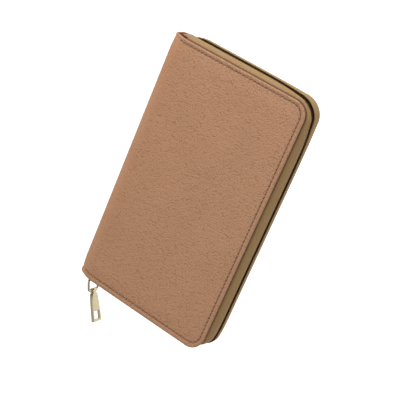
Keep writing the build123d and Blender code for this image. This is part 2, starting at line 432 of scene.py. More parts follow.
def leather_material(name, tone=1.0, grain=1.0, gloss=0.45):
    """Pebbled leather: soft cells with creases darkened as painted shade and tops lightened as painted
    highlight, fine pores, and a smoother, warmer strip at the spine painted in for its shading.
    """
    n = Nodes(name)
    place = n.uv()
    centred = n.add("ShaderNodeVectorMath", operation="SUBTRACT")
    n.link(n.noise(place, 0.5, 0.0, "Color"), centred.inputs[0])
    centred.inputs[1].default_value = (0.5, 0.5, 0.5)
    warp = n.add("ShaderNodeVectorMath", operation="MULTIPLY_ADD")
    n.link(centred.outputs[0], warp.inputs[0])
    warp.inputs[1].default_value = (0.8, 0.8, 0.0)
    n.link(place, warp.inputs[2])
    pebble = n.pebbles(warp.outputs[0], 0.80, 1.12)
    pebble_small = n.pebbles(warp.outputs[0], 1.60, 1.12)
    pores = n.noise(place, 3.2, 3.0)
    slow = n.noise(place, 0.03, 2.0)
    ease = n.add("ShaderNodeMapRange", interpolation_type="SMOOTHSTEP")
    for index, value in ((1, 9.0), (2, 21.0), (3, 0.35), (4, 1.0)):
        ease.inputs[index].default_value = value
    n.link(n.math("ABSOLUTE", n.split(place)[0]), ease.inputs[0])
    full = ease.outputs[0]
    body, spine_shading_colour, crease_shade_colour, light = (tuple(c * tone for c in colour) for colour in LEATHER_COLOURS)
    # Creases darkened in colour: painted shade in the valleys of the grain.
    crease_shade_mask = n.math("SUBTRACT", 1.0, n.math("POWER", pebble, 0.7))
    # Warmer, more saturated tone towards the spine: painted in for the rolled spine's shading, where
    # it turns away from the light.
    shade = n.mix(n.times(crease_shade_mask, full), n.mix(full, spine_shading_colour, body), crease_shade_colour)
    # Tops of the small pebbles lightened in colour: a painted highlight on the grain.
    tops = n.times(n.math("POWER", pebble_small, 2.0), full)
    shade = n.mix(n.times(tops, 0.22), shade, light)
    patch = n.ramp(slow, [(0.35, (0.975, 0.97, 0.965)), (0.65, (1.02, 1.02, 1.02))])
    shade = n.mix(1.0, shade, patch, "MULTIPLY")
    fine = n.bump(pores, 0.25 * grain, 0.05)
    cells = n.times(n.math("ADD", n.times(pebble_small, 0.20), pebble), full)
    normal = n.bump(cells, 0.9 * grain, 0.34, fine)
    rough = n.math("ADD", n.times(pores, 0.14), 0.38)
    return n.finish(shade, normal, rough, Specular_IOR_Level=gloss)


def tape_material(name, light, dark):
    """Zip tape: fine herringbone ribs across the way along, with a plain woven border."""
    n = Nodes(name)
    place = n.uv()
    along, across = n.split(place)[:2]
    zig = n.math("PINGPONG", across, 1.1)
    twill = n.math("SINE", n.times(n.math("ADD", along, n.times(zig, 0.9)), 7.8))
    yarn = n.math("SINE", n.times(across, 12.5))
    weave = n.math("ADD", n.times(twill, 0.32), n.times(yarn, 0.16))
    weave = n.math("ADD", weave, n.times(n.noise(place, 2.4, 4.0), 0.5))
    colour = n.ramp(n.math("ADD", weave, 0.25), [(0.1, dark), (0.85, light)])
    normal = n.bump(weave, 0.55, 0.09)
    return n.finish(colour, normal, 0.78, Specular_IOR_Level=0.12)


def lining_material(name, light, dark):
    """Plain woven lining cloth in two close tones."""
    n = Nodes(name)
    place = n.uv()
    warp, weft = (n.math("SINE", n.times(part, 9.0)) for part in n.split(place)[:2])
    weave = n.math("ADD", n.times(n.times(warp, weft), 0.3), n.noise(place, 0.8, 4.0))
    colour = n.ramp(weave, [(0.25, dark), (0.8, light)])
    return n.finish(colour, n.bump(weave, 0.4, 0.06), 0.8, Specular_IOR_Level=0.25)


def metal_material(name, colour, roughness):
    """Polished plated metal with faint polishing lines and small wear in the gloss."""
    n = Nodes(name)
    place = n.solid()
    cloud = n.noise(place, 0.5, 3.0)
    lines = n.noise(n.scaled(place, (9.0, 0.6, 9.0)), 1.0, 2.0)
    worn = tuple(0.86 * c for c in colour)
    tint = n.ramp(cloud, [(0.3, worn), (0.6, colour)])
    rough = n.math("ADD", n.times(cloud, 0.10), roughness)
    return n.finish(tint, n.bump(lines, 0.10, 0.02), rough, Metallic=1.0)


def thread_material(name, colour):
    """Twisted sewing thread."""
    n = Nodes(name)
    place = n.solid()
    twist = n.add("ShaderNodeTexWave", in_1=1.6, in_2=1.0)
    n.link(place, twist.inputs[0])
    dark = tuple(0.6 * c for c in colour)
    tint = n.mix(twist.outputs["Fac"], dark, colour)
    return n.finish(tint, n.bump(twist.outputs["Fac"], 0.5, 0.08), 0.6)


def plastic_material(name, colour):
    """Nylon coil, slightly uneven."""
    n = Nodes(name)
    cloud = n.noise(n.solid(), 1.2, 3.0)
    tint = n.mix(cloud, tuple(0.7 * c for c in colour), colour)
    return n.finish(tint, n.bump(cloud, 0.2, 0.05), 0.55, Specular_IOR_Level=0.25)


LEATHER = leather_material("leather_pebbled")
LEATHER_INSIDE = leather_material("leather_inside", 0.86, 0.6)
# Darker copy of the leather for the end tabs: painted shade for the hollow at the spine's ends.
LEATHER_SHADED = leather_material("leather_shaded", 0.66, 0.6, 0.1)
TAPE = tape_material("zip_tape_weave", (0.43, 0.276, 0.136), (0.23, 0.136, 0.050))
TAPE_INSIDE = tape_material("coin_tape_weave", (0.42, 0.28, 0.13), (0.25, 0.155, 0.07))
LINING = lining_material("lining_weave", (0.20, 0.115, 0.062), (0.12, 0.068, 0.036))
METAL = metal_material("pale_gold", (0.50, 0.432, 0.285), 0.15)
THREAD = thread_material("thread", (0.37, 0.195, 0.105))
# Near-black pills at the needle holes: painted shade for the pits between the stitches.
HOLE_SHADE = thread_material("needle_hole_shade", (0.10, 0.050, 0.026))
# Dark brown nylon coil, its colour partly darkened as painted shade for the gap of the zip line.
COIL_SHADED = plastic_material("nylon_coil_shaded", (0.125, 0.074, 0.032))
# Dark cloth for the cord under the leather's edge: painted shade for the gap between leather and tape.
SHADE_BINDING = lining_material("edge_shade_binding", (0.19, 0.098, 0.050), (0.13, 0.065, 0.032))
BOARD = lining_material("board", (0.55, 0.50, 0.42), (0.48, 0.43, 0.36))


# ---- outer leather ----
BEAD = [(8.2, -0.34), (8.55, -0.26), (9.0, -0.08), (9.6, 0.05), (10.2, 0.09), (10.8, 0.05),
        (11.2, -0.08), (11.48, -0.28), (11.6, -0.52), (11.55, -0.80), (11.35, -1.02),
        (10.9, -1.16), (10.2, -1.22), (8.0, -1.25)]
STITCH_REACH = 8.2
PEBBLE_SIZE = 2.3
PEBBLE_RISE = 0.05


def crown(s, y):
    """Height of the padded face over the board: full inside, falling to the stitch line."""
    inset = min(HALF_HEIGHT - abs(y), FORE_S - s)
    if s > CORNER_S and abs(y) > CORNER_Y:
        inset = CORNER_RADIUS - math.hypot(s - CORNER_S, abs(y) - CORNER_Y)
    rise = float(smoothstep((inset - STITCH_INSET) / 10.0))
    pull = 0.34 * math.exp(-((inset - STITCH_INSET) / 0.8) ** 2)
    return 0.45 * rise - pull


def pebbles(s, y):
    """Small real unevenness of the grain, fading out near the spine."""
    near, second = noise.voronoi(Vector((s, y, 3.0)) / PEBBLE_SIZE)[0][:2]
    amount = PEBBLE_RISE * float(smoothstep((s - 8.0) / 10.0))
    return amount * (float(smoothstep((second - near) * 1.7)) - 0.6)


def leather_sheet():
    """Vertices (s, y, h) and faces of one cover's leather, from mid-spine to the turned edge."""
    route = edge_route(GRID, 0.0, 0.0)
    inner_rings = [0.0, 0.9, 1.8, 2.7, 3.5, 4.3, 5.0, 5.7, 6.3, 6.9, 7.4, 7.8]
    rings = [(r, None) for r in inner_rings] + BEAD
    sheet = []
    for s, y, ds, dy, _ in route:
        spread = 0.80 if dy > 0 else 1.25
        for reach, height in rings:
            reach += max(0.0, reach - STITCH_REACH) * (spread - 1) * dy ** 2
            ps, py = s + ds * reach, y + dy * reach
            lift = crown(ps, py) if height is None else height
            sheet.append((ps, py, lift + pebbles(ps, py) * (0.6 if reach > 8 else 1.0)))
    faces = grid_faces(len(route), len(rings))
    columns = [place[0] for place in route if place[3] == -1.0 and place[1] < 0]
    if columns[-1] < CORNER_S - 0.01:
        columns.append(CORNER_S)
    ys = [place[1] for place in route if place[2] == 1.0]
    if ys[-1] < CORNER_Y - 0.01:
        ys.append(CORNER_Y)
    start = len(sheet)
    for s in columns:
        for y in ys:
            sheet.append((s, y, crown(s, y) + pebbles(s, y)))
    faces += grid_faces(len(columns), len(ys), offset=start)
    return sheet, faces


def leather_skin(side):
    """Outer leather of one cover with half of the spine, shaped round its fold."""
    sheet, faces = leather_sheet()
    places = [(s if side == "front" else -s, y) for s, y, _ in sheet]
    obj = cloth_object(f"{side}_leather_skin", on_cover(side, sheet), faces, LEATHER, places)
    solid = obj.modifiers.new("shell", "SOLIDIFY")
    solid.thickness = SHELL * MM
    solid.offset = -1
    apply_modifiers(obj)
    obj.data.set_sharp_from_angle(angle=math.radians(50))
    low = Vector((SPINE_X, 0, MID_Z + 2)) * MM
    high = Vector((SPINE_X + 6, 0, FOLD_Z + 4)) * MM
    if side == "front":
        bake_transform(obj)
        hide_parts("front_leather", "spine_leather")
    else:
        low.z, high.z = THICK * MM - low.z, THICK * MM - high.z
        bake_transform(obj)
        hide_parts("back_leather")
    return obj


SEAM_START = 11.0


def stitch_places(side):
    """Middle, direction along the seam and outward normal of every stitch on one cover."""
    reach = CORNER_RADIUS - STITCH_INSET
    route = edge_route(0.4, SEAM_START, SEAM_START)
    line = np.array([(s + ds * reach, y + dy * reach, -0.30) for s, y, ds, dy, _ in route])
    step = np.hypot(*np.diff(line[:, :2], axis=0).T)
    way = np.concatenate([[0], np.cumsum(step)])
    count = int(way[-1] / STITCH_PITCH)
    places = []
    for i in range(count):
        middle = (i + 0.5) * STITCH_PITCH
        ends = np.stack([np.interp([middle - 0.2, middle, middle + 0.2], way, line[:, k])
                         for k in range(3)], axis=1)
        lifted = ends[1] + np.array([0, 0, 1.0])
        points = on_cover(side, np.vstack([ends, lifted]))
        along = Vector(points[2] - points[0]).normalized()
        normal = Vector(points[3] - points[1]).normalized()
        places.append((Vector(points[1]), along, normal))
    return places


def add_pill(vertices, faces, place, length, width, height, lift, lean=0.0):
    """One stitch: an arched pill lying on the seam with both ends dipping into the leather."""
    middle, along, normal = place
    side = normal.cross(along).normalized()
    along = (along + side * lean).normalized()
    side = normal.cross(along).normalized()
    rings, columns = 7, 8
    start = len(vertices)
    for i in range(rings):
        t = -1 + 2 * i / (rings - 1)
        girth = math.sqrt(max(1 - abs(t) ** 3.2, 0.0)) * 0.94 + 0.06
        arch = lift + height * (1 - t * t) - height * 0.6
        centre = middle + along * (t * length / 2) + normal * arch
        for a, b in circle(columns):
            vertices.append(centre + side * (a * girth * width / 2)
                            + normal * (b * girth * height / 2))
    faces += tube_faces(rings, columns, start)


def thread_piece(name, side, vertices, faces, material, replaced=()):
    """Stitches, or the dark pills of painted shade at the needle holes, of one cover as one piece."""
    obj = new_object(name, vertices, faces, material)
    tidy_normals(obj)
    finish_piece(obj, side + "_cover", replaced)


def stitching(side):
    """The cover's stitches, and dark pills between them as painted shade in the needle holes."""
    places = stitch_places(side)
    vertices, faces = [], []
    for place in places:
        add_pill(vertices, faces, place, 2.3, 0.78, 0.66, 0.22 + random.uniform(-0.03, 0.03),
                 random.uniform(0.04, 0.12))
    thread_piece(f"{side}_stitches", side, vertices, faces, THREAD, [side + "_stitching"])
    vertices, faces = [], []
    # Dark pills sunk between the stitches: painted shade in the needle holes.
    for (middle, along, normal), following in zip(places, places[1:]):
        halfway = ((middle + following[0]) / 2, along, normal)
        add_pill(vertices, faces, halfway, 1.15, 0.95, 0.16, 0.03)
    thread_piece(f"{side}_needle_holes", side, vertices, faces, HOLE_SHADE)


# ---- zip ----
TAPE_ROUTE_BOTTOM = 8.6
TAPE_ROUTE_TOP = 17.6
ZIP_GAP = 1.25
TAPE_THICK = 0.5
BULGE_FORE, BULGE_TOP, BULGE_BOTTOM = 2.8, 1.1, 0.8
STEP_FORE, STEP_TOP_START, STEP_TOP, STEP_BOTTOM = 1.15, -0.1, 1.6, -0.25
STEP_RISE_LENGTH = 12
CORNER_TIP = 8.5
TUCK_LOWER, TUCK_UPPER, TUCK_REACH = 1.9, 0.9, 11.0
DRIFT, DRIFT_REACH, DRIFT_HALF_DEPTH = 6.5, 20, 10.5


def bulge(out_s, out_y):
    """How far the zip stands out past the cover: most on the fore-edge, least where the slider is."""
    return BULGE_FORE * out_s ** 2 + np.where(out_y > 0, BULGE_TOP, BULGE_BOTTOM) * out_y ** 2


def corner_tuck(s, y, side):
    """How far the zip is drawn in at the fore-edge corners; its back half only at the lower one."""
    away = np.hypot(s - CORNER_S - CORNER_TIP, np.abs(y) - CORNER_Y - CORNER_TIP)
    most = np.where(np.asarray(y) < 0, TUCK_LOWER, TUCK_UPPER if side == "front" else 0.0)
    return most * np.exp(-((away / TUCK_REACH) ** 2))


def away_from_slider(out_y):
    """1 on the fore-edge and top edge, 0 on the bottom edge, where the slider runs."""
    return 1 + np.minimum(out_y, 0.0)


def back_step(s, out_s, out_y):
    """How much further out the back tape half stands than the front one, whose edge hides it."""
    short_edge = STEP_BOTTOM
    if out_y > 0:
        rise = float(smoothstep((s - TAPE_ROUTE_TOP) / STEP_RISE_LENGTH))
        short_edge = STEP_TOP * rise + STEP_TOP_START
    return STEP_FORE * out_s ** 2 + short_edge * out_y ** 2


def zip_drift(s, y):
    """How far the zip line wanders to the front where the top fore-edge corner pulls it."""
    away = math.hypot(s - CORNER_S - CORNER_TIP, y - CORNER_Y - CORNER_TIP)
    return DRIFT * math.exp(-((away / DRIFT_REACH) ** 2))


def tape_section(proud, gap):
    """Closed outline of the front tape half, as (outward past the cover's edge, height)."""
    low = MID_Z - THICK + gap
    outer = [(-3.6, -2.45), (-2.6, -2.6), (-2.0, -2.95), (-1.5, -3.3), (-0.9, -3.6),
             (0.25 * proud - 0.5, -4.1), (0.64 * proud - 0.3, -4.9), (0.87 * proud - 0.1, -6.0),
             (0.96 * proud, -7.4), (proud, -8.8), (1.02 * proud, low + 0.9),
             (1.02 * proud, low + 0.16), (proud - 0.06, low)]
    inner = []
    for r, h in outer[::-1]:
        if h > -2.8:
            inner.append((r, h - TAPE_THICK))
        else:
            inner.append((r - TAPE_THICK, max(h, low + 0.05)))
    return outer + inner


def drift_share(z):
    """How much of the zip line's drift a height takes: all in the middle, none at the covers."""
    return 1 - smoothstep(np.abs(z - MID_Z) / DRIFT_HALF_DEPTH)


def with_drift(side, sheet):
    """Points of the flat sheet on a cover, moved along with the zip line's drift."""
    points = on_cover(side, sheet)
    drifts = np.array([zip_drift(s, y) for s, y, _ in sheet])
    points[:, 2] += drift_share(points[:, 2]) * drifts
    return points


def zip_tape(side):
    """Tape half along the three edges, with its weave laid along it."""
    route = edge_route(1.6, TAPE_ROUTE_BOTTOM, TAPE_ROUTE_TOP)
    sheet, places = [], []
    for s, y, ds, dy, way in route:
        gap = ZIP_GAP - away_from_slider(dy) * (0.5 if side == "back" else 0.2)
        step_out = back_step(s, ds, dy) if side == "back" else 0.0
        tuck = corner_tuck(s + ds * CORNER_RADIUS, y + dy * CORNER_RADIUS, side)
        outline = tape_section(float(bulge(ds, dy) - tuck) + step_out, gap)
        across = 0.0
        for i, (r, h) in enumerate(outline):
            if i:
                across += math.hypot(r - outline[i - 1][0], h - outline[i - 1][1])
            reach = CORNER_RADIUS + r
            sheet.append((s + ds * reach, y + dy * reach, h))
            places.append((way, across))
    faces = tube_faces(len(route), len(outline))
    obj = cloth_object(f"{side}_tape", with_drift(side, sheet), faces, TAPE, places)
    return finish_piece(obj, side + "_cover", [side + "_zip_tape"])


def wire(name, points, radius, material):
    """A round wire along open points, as a closed mesh."""
    curve = bpy.data.curves.new(name, "CURVE")
    curve.dimensions = "3D"
    curve.bevel_depth = radius * MM
    curve.bevel_resolution = 1
    curve.use_fill_caps = True
    spline = curve.splines.new("POLY")
    spline.points.add(len(points) - 1)
    spline.points.foreach_set("co", np.hstack([points * MM, np.ones((len(points), 1))]).ravel())
    holder = bpy.data.objects.new(name + "_curve", curve)
    bpy.context.scene.collection.objects.link(holder)
    graph = bpy.context.evaluated_depsgraph_get()
    mesh = bpy.data.meshes.new_from_object(holder.evaluated_get(graph))
    bpy.data.objects.remove(holder)
    mesh.materials.clear()
    mesh.materials.append(material)
    return place_mesh(name, mesh)


BINDING_OUTLINE = [(-3.4, -1.5), (-1.0, -1.5), (-0.6, -1.65), (-0.44, -2.0), (-0.40, -2.5),
                   (-0.44, -3.0), (-0.7, -3.3), (-1.1, -3.35), (-1.6, -3.1), (-2.3, -2.5),
                   (-3.4, -2.2)]


def edge_shade_binding(side):
    """Dark cord of lining cloth between the leather's edge and the tape: a dark piece in the gap under
    the leather's edge, as painted shade for that gap.
    """
    route = edge_route(1.6, TAPE_ROUTE_BOTTOM + 1, TAPE_ROUTE_TOP + 1)
    sheet, places = [], []
    for s, y, ds, dy, way in route:
        for i, (r, h) in enumerate(BINDING_OUTLINE):
            sheet.append((s + ds * (CORNER_RADIUS + r), y + dy * (CORNER_RADIUS + r), h))
            places.append((way, 0.6 * i))
    faces = tube_faces(len(route), len(BINDING_OUTLINE))
    obj = cloth_object(f"{side}_edge_binding", on_cover(side, sheet), faces, SHADE_BINDING, places)
    return finish_piece(obj, side + "_cover")


def zip_coil(side):
    """Coil strand inside the tape: a wound nylon wire with its turns facing the other half."""
    route = edge_route(0.3, 9.6, 18.6)
    pitch, turn_steps, wire_radius = 0.95, 8, 0.24
    way = np.array([place[4] for place in route])
    turns = int(way[-1] / pitch)
    t = np.arange(turns * turn_steps) / turn_steps
    columns = [np.interp(t * pitch, way, [place[k] for place in route]) for k in range(4)]
    angle = 2 * math.pi * t
    runs_slider = smoothstep((-columns[3] - 0.85) / 0.1)
    proud = bulge(columns[2], columns[3]) - corner_tuck(
        columns[0] + columns[2] * CORNER_RADIUS, columns[1] + columns[3] * CORNER_RADIUS, side)
    tuck = 0.72 + 0.40 * away_from_slider(columns[3])
    reach = CORNER_RADIUS + proud - tuck + 0.36 * np.cos(angle)
    depth = MID_Z - THICK + 0.60 + 0.42 * runs_slider + 0.36 * np.sin(angle)
    sheet = np.stack([columns[0] + columns[2] * reach, columns[1] + columns[3] * reach, depth], axis=1)
    obj = wire(f"{side}_coil", with_drift(side, sheet), wire_radius, COIL_SHADED)
    return finish_piece(obj, side + "_cover", [side + "_zip_coil"])


# ---- hard parts ----
def swept(name, outline, centre, axes, thickness, material, edge=0.3):
    """A plate from its outline in two axes, with rounded edges, in millimetres."""
    u, v, w = (Vector(a) for a in axes)
    vertices = []
    for side in (-0.5, 0.5):
        for a, b in outline:
            vertices.append(Vector(centre) + u * a + v * b + w * (side * thickness))
    obj = new_object(name, vertices, tube_faces(2, len(outline)), material)
    tidy_normals(obj)
    bevel(obj, edge)
    return obj


def round_rectangle(width, height, radius, steps=6):
    """Outline of a rectangle with round corners about the origin."""
    outline = []
    for cx, cy, start in ((1, 1, 0), (-1, 1, 90), (-1, -1, 180), (1, -1, 270)):
        for i in range(steps + 1):
            a = math.radians(start + 90 * i / steps)
            outline.append((cx * (width / 2 - radius) + radius * math.cos(a),
                            cy * (height / 2 - radius) + radius * math.sin(a)))
    return outline


def join(name, *objects):
    """Joins mesh objects into one piece."""
    edit = bmesh.new()
    for obj in objects:
        obj.data.transform(obj.matrix_world)
        edit.from_mesh(obj.data)
    mesh = bpy.data.meshes.new(name)
    edit.to_mesh(mesh)
    edit.free()
    for material in objects[0].data.materials:
        mesh.materials.append(material)
    for obj in objects:
        bpy.data.objects.remove(obj)
    return place_mesh(name, mesh)


def wire_loop(name, path, radius, material, columns, flat):
    """A closed round wire along a closed path of points, in millimetres."""
    vertices = []
    count = len(path)
    centre = sum(path, Vector()) / count
    normal = (path[1] - path[0]).cross(path[count // 3] - path[0]).normalized()
    for i, point in enumerate(path):
        along = (path[(i + 1) % count] - path[i - 1]).normalized()
        out = along.cross(normal).normalized()
        if out.dot(point - centre) < 0:
            out.negate()
        for a, b in circle(columns):
            vertices.append(point + out * (a * radius) + normal * (b * radius * flat))
    obj = new_object(name, vertices, loop_faces(count, columns), material)
    tidy_normals(obj)
    return obj


def joint_place(name):
    """A hinge's place in millimetres."""
    return Vector(JOINTS[name]["pos_m"]) / MM


X, Y, Z = Vector((1, 0, 0)), Vector((0, 1, 0)), Vector((0, 0, 1))
PIVOT = joint_place("ring_swing")
KNUCKLE = joint_place("tab_swing")
HANG = (KNUCKLE - PIVOT).normalized()
TAB_LEAN = 8.5
TAB_HANG = Matrix.Rotation(math.radians(TAB_LEAN), 3, "Z") @ HANG
TAB_FLANK = Z.cross(TAB_HANG).normalized()


def slider_pieces():
    """Slider: two rounded plates, the post between them and the bridge that holds the ring."""
    middle = (SLIDER_LOW + SLIDER_HIGH) / 2
    edge = -HALF_HEIGHT
    length, width = SLIDER_HIGH.x - SLIDER_LOW.x, SLIDER_HIGH.z - SLIDER_LOW.z
    outline = []
    for a, b in round_rectangle(length, width, 2.2):
        taper = 1 - 0.12 * smoothstep((a + length / 2) / length)
        outline.append((a, b * float(taper)))
    outer = swept("outer", outline, (middle.x, edge - 1.75, MID_Z), (X, Z, Y), 1.0, METAL, 0.42)
    inner = swept("inner", outline, (middle.x, edge + 2.2, MID_Z), (X, Z, Y), 1.0, METAL, 0.3)
    post = swept("post", round_rectangle(1.6, 0.8, 0.35), (SLIDER_LOW.x + 1.1, edge + 0.2, MID_Z),
                 (X, Z, Y), 3.6, METAL, 0.05)
    flank = swept("flank", round_rectangle(length - 1.5, 1.3, 0.5),
                  (middle.x, edge + 1.2, SLIDER_LOW.z + 0.35), (X, Y, Z), 0.6, METAL, 0.2)
    angles = [math.pi * i / 18 for i in range(19)]
    arch = [(4.0 * math.copysign(abs(math.cos(a)) ** 0.6, math.cos(a)), 4.1 * math.sin(a) ** 0.75)
            for a in angles]
    arch.append((-2.6, 0.0))
    angles = [math.pi - math.pi * i / 12 for i in range(13)]
    arch += [(2.6 * math.copysign(abs(math.cos(a)) ** 0.55, math.cos(a)), 2.7 * math.sin(a) ** 0.6)
             for a in angles]
    bridge = swept("bridge", arch, (middle.x, edge - 2.15, MID_Z), (X, -Y, Z), 3.5, METAL, 0.38)
    obj = join("slider", outer, inner, post, flank, bridge)
    return finish_piece(obj, "zip_slider", ["zip_slider"])


def ring_piece():
    """Wire ring, slightly flat on its two faces."""
    width, corner, wire_radius, flatness = 12.2, 2.2, 1.08, 0.8
    drop = (KNUCKLE - PIVOT).length
    path = [PIVOT + HANG * (drop / 2) + Z * a + HANG * b
            for a, b in round_rectangle(width, drop, corner, 8)]
    obj = wire_loop("ring", path, wire_radius, METAL, 18, flatness)
    return finish_piece(obj, "pull_ring", ["pull_ring"])


def tab_piece():
    """Shouldered tab with a window and a soft ridge, rolled round the ring's lower bar."""
    length, thick, neck, shoulder, top, foot = 24.5, 2.6, 6.0, 2.75, 8.6, 10.6
    window_low, window_high, window_half = length - 1.9, length - 8.1, 3.6
    rows = [0.6, shoulder - 0.1, shoulder, 6.0, 10.0, 14.0, window_high, window_low, length]
    opened = len(rows) - 3

    def half(d):
        if d < shoulder:
            return neck / 2
        return (top + (foot - top) * (d - shoulder) / (length - shoulder)) / 2

    vertices, faces, index = [], [], {}

    def vertex(row, column, face):
        key = (row, column, face)
        if key not in index:
            d = rows[row]
            across = (-half(d), -window_half, 0.0, window_half, half(d))[column]
            if column in (1, 3) and d < window_high:
                across = math.copysign(half(d) * 0.64, across)
            ridge = (0.30, 0.48, 0.56, 0.48, 0.30)[column]
            swell = ridge + (0.44 - ridge) * min(1.0, max(0.0, (d - 4) / (window_high - 4)))
            index[key] = len(vertices)
            vertices.append(KNUCKLE + TAB_HANG * d + Z * across + TAB_FLANK * (face * swell * thick))
        return index[key]

    open_cells = {(opened, 1), (opened, 2)}
    for face in (-1, 1):
        for row in range(len(rows) - 1):
            for column in range(4):
                if (row, column) in open_cells:
                    continue
                quad = [vertex(row, column, face), vertex(row, column + 1, face),
                        vertex(row + 1, column + 1, face), vertex(row + 1, column, face)]
                faces.append(quad[::face])

    def wall(loop):
        for a, b in zip(loop, loop[1:]):
            faces.append([vertex(*a, -1), vertex(*b, -1), vertex(*b, 1), vertex(*a, 1)])

    last = len(rows) - 1
    wall([(r, 0) for r in range(last + 1)] + [(last, c) for c in range(1, 5)]
         + [(r, 4) for r in range(last - 1, -1, -1)] + [(0, c) for c in range(3, -1, -1)])
    wall([(opened, 1), (opened, 2), (opened, 3), (opened + 1, 3), (opened + 1, 2), (opened + 1, 1),
          (opened, 1)])
    plate = new_object("plate", vertices, faces, METAL)
    tidy_normals(plate)
    bevel(plate, 0.32, 3)
    chamfered, outer, bore, chamfer, turns = 1.35, 1.6, 1.1, 0.35, 28
    rings = [(-neck / 2, chamfered), (chamfer - neck / 2, outer), (neck / 2 - chamfer, outer),
             (neck / 2, chamfered), (neck / 2, bore), (-neck / 2, bore)]
    vertices = [KNUCKLE + TAB_HANG * (a * radius) + TAB_FLANK * (b * radius) + Z * z
                for z, radius in rings for a, b in circle(turns)]
    barrel = new_object("barrel", vertices, loop_faces(len(rings), turns), METAL)
    tidy_normals(barrel)
    obj = join("tab", plate, barrel)
    return finish_piece(obj, "pull_tab", ["pull_tab"])


# ---- inside ----
RIM = (0.0, 0.05, 0.15, 0.32, 0.6, 1.0, 1.35, 1.7, 2.05, 2.5, 3.2)
HEM = 1.7


def rim_spread(low, high, step=3.0):
    """Places from low to high, close together near both ends."""
    inner = [low + RIM[-1] + step * i for i in range(1, int((high - low - 2 * RIM[-1]) / step))]
    return [low + r for r in RIM] + inner + [high - r for r in RIM[::-1]]


def leaf(node, material, body):
    """A sewn leaf in place of a flat CAD node: rounded edges, pressed seam lines, soft waves."""
    low, high = mm_box(node)
    up = 1 if low.z < MID_Z else -1
    base = low.z if up > 0 else high.z
    thick = high.z - low.z
    xs, ys = rim_spread(low.x, high.x), rim_spread(low.y, high.y)
    vertices, places = [], []
    for face in (1, 0):
        for x in xs:
            for y in ys:
                inset = min(x - low.x, high.x - x, y - low.y, high.y - y)
                edge = math.sqrt(max(0.0, 1 - (1 - min(inset / 0.32, 1)) ** 2))
                height = thick * (0.5 + (face - 0.5) * edge)
                if face:
                    from_seam = min(abs(x - low.x - HEM), abs(high.y - y - HEM),
                                    abs(y - low.y - HEM), abs(high.x - x - HEM))
                    wave = 0.5 + 0.5 * math.sin(0.11 * x + 1.7) * math.cos(0.07 * y)
                    height -= 0.14 * math.exp(-(from_seam / 0.4) ** 2) * min(inset, 1)
                    height -= 0.07 * wave * min(inset, 1)
                vertices.append((x, y, base + up * height))
                places.append((x, y + 300 * (face + 1)))
    count = len(xs) * len(ys)
    faces = grid_faces(len(xs), len(ys)) + grid_faces(len(xs), len(ys), offset=count)
    obj = cloth_object(node + "_leaf", vertices, faces, material, places)
    return finish_piece(obj, body, [node])


def seam(vertices, faces, start, end, up):
    """A run of stitches along a straight line."""
    start, end = Vector(start), Vector(end)
    along = (end - start).normalized()
    count = int((end - start).length / STITCH_PITCH)
    for i in range(count):
        middle = start + along * ((i + 0.5) * STITCH_PITCH)
        add_pill(vertices, faces, (middle, along, Vector((0, 0, up))), 2.3, 0.6, 0.5, 0.02, 0.05)


def inner_face(low, high):
    """Which way a leaf faces, and the height of a seam on that face."""
    up = 1 if low.z < MID_Z else -1
    return up, (high.z if up > 0 else low.z) - up * 0.10


def slot_seams(nodes):
    """Seams along each slot's open edge, and down the middle of its uncovered strip."""
    vertices, faces = [], []
    boxes = [mm_box(node) for node in nodes]
    for i, (low, high) in enumerate(boxes):
        up, top = inner_face(low, high)
        edge = boxes[i + 1][0].x if i + 1 < len(boxes) else high.x - 2
        seam(vertices, faces, (low.x + HEM, low.y + 2, top), (low.x + HEM, high.y - 2, top), up)
        seam(vertices, faces, (low.x + 3, 0, top + up * 0.05), (edge - 0.5, 0, top + up * 0.05), up)
        for y in (low.y + HEM, high.y - HEM):
            seam(vertices, faces, (low.x + 3, y, top), (edge - 0.5, y, top), up)
    return vertices, faces


def card_slots(side, count):
    """The leather slots of one cover and their stitching."""
    nodes = [f"{side}_card_slot_{i + 1}" for i in range(count)]
    for node in nodes:
        leaf(node, LEATHER_INSIDE, side + "_cover")
    thread_piece(f"{side}_slot_stitches", side, *slot_seams(nodes), THREAD)


def cloth_seams(side, nodes):
    """Stitching round the cloth leaves of one cover."""
    vertices, faces = [], []
    for node in nodes:
        low, high = mm_box(node)
        up, top = inner_face(low, high)
        for x in (low.x + HEM, high.x - HEM):
            seam(vertices, faces, (x, low.y + 3, top), (x, high.y - 3, top), up)
        for y in (low.y + HEM, high.y - HEM):
            seam(vertices, faces, (low.x + 3, y, top), (high.x - 3, y, top), up)
    thread_piece(f"{side}_cloth_stitches", side, vertices, faces, THREAD)


LINING_DEPTH = -2.95
LINING_EDGE = [(9.2, -2.95), (9.9, -2.95), (10.3, -2.99), (10.45, -3.14), (10.3, -3.30), (9.9, -3.34)]


